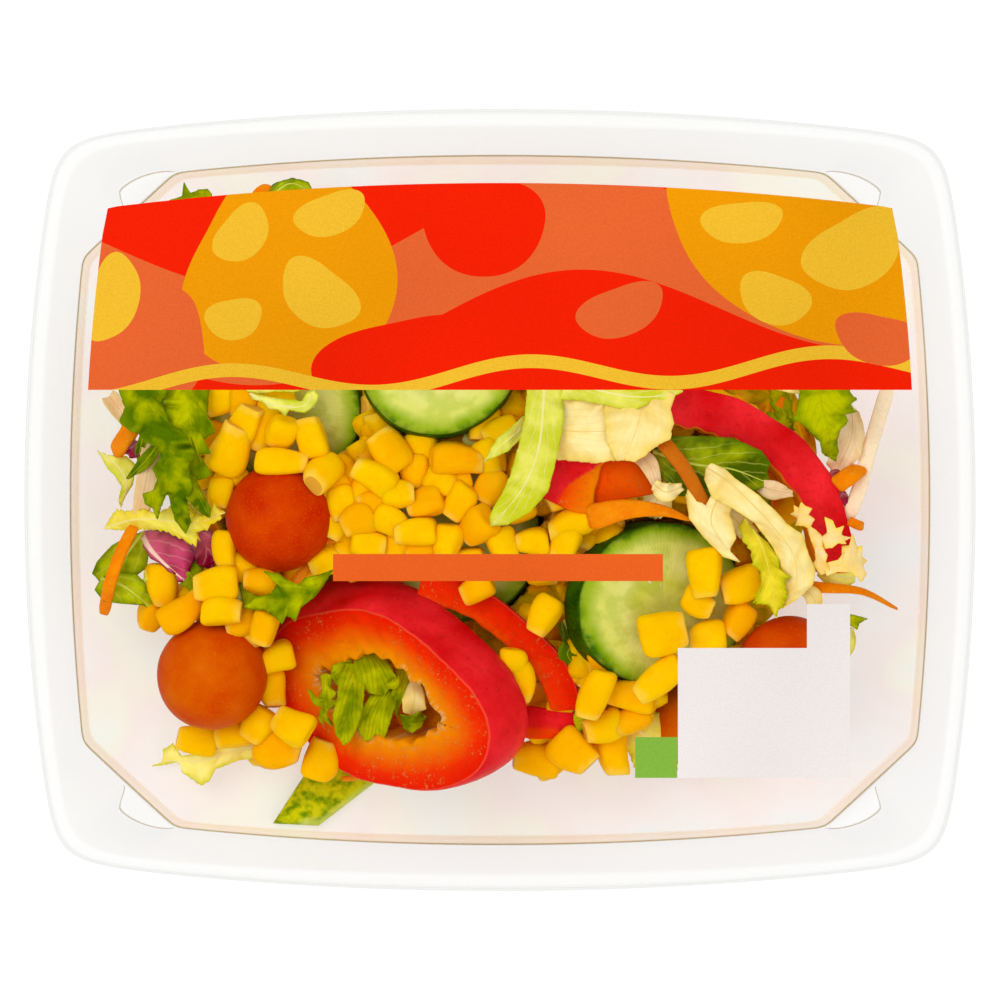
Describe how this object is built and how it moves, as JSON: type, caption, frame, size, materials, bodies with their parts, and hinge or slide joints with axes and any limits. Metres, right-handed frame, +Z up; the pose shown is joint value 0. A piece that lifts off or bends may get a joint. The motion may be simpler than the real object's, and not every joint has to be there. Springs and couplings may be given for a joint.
{
  "type": "packaged salad bowl",
  "caption": "Clear plastic tub of mixed salad leaves, sweetcorn, tomato, pepper and cucumber, sealed under a clear film with printed fields of colour, to carry and show ready-to-eat salad.",
  "frame": {"origin": "middle of the underside of the tub, on the surface it stands on", "axes": "+Z up, +X along the long side to the right as the coloured band lies at the far side, +Y towards the coloured band"},
  "size_m": [0.236, 0.194, 0.0586],
  "materials": {
    "tub_plastic": "clear thermoformed sheet, smooth and glossy, slightly milky where it bends",
    "clear_film": "thin clear lidding film, stretched flat",
    "print_red": "opaque print in red, salmon, amber and yellow fields",
    "print_orange": "opaque orange print",
    "print_white": "opaque off-white print",
    "print_green": "opaque green print with a dark edge",
    "salad_leaves": "crisp salad leaves, green at the tips and yellow-green to cream at the ribs",
    "sweetcorn": "moist yellow kernels with paler cut ends",
    "radicchio": "purple-red leaf with white ribs",
    "carrot": "orange shreds, paler inside",
    "tomato": "smooth speckled tomato skin with a soft shine",
    "red_pepper": "glossy red skin and moist orange-red flesh",
    "cucumber": "moist pale green flesh with a dark green skin"
  },
  "bodies": {
    "root": {"tub": "tub_plastic", "lid_film": "clear_film", "label_band": "print_red", "label_strip": "print_orange", "label_panel": "print_white", "label_square": "print_green", "salad_heap": "salad_leaves", "cherry_tomato_1": "tomato", "cherry_tomato_2": "tomato", "cherry_tomato_3": "tomato", "cherry_tomato_4": "tomato", "pepper_ring_1": "red_pepper", "pepper_ring_2": "red_pepper", "pepper_ring_3": "red_pepper", "cucumber_slice_1": "cucumber", "cucumber_slice_2": "cucumber", "cucumber_slice_3": "cucumber", "cucumber_slice_4": "cucumber", "cucumber_wedge": "cucumber"}
  },
  "joints": []
}
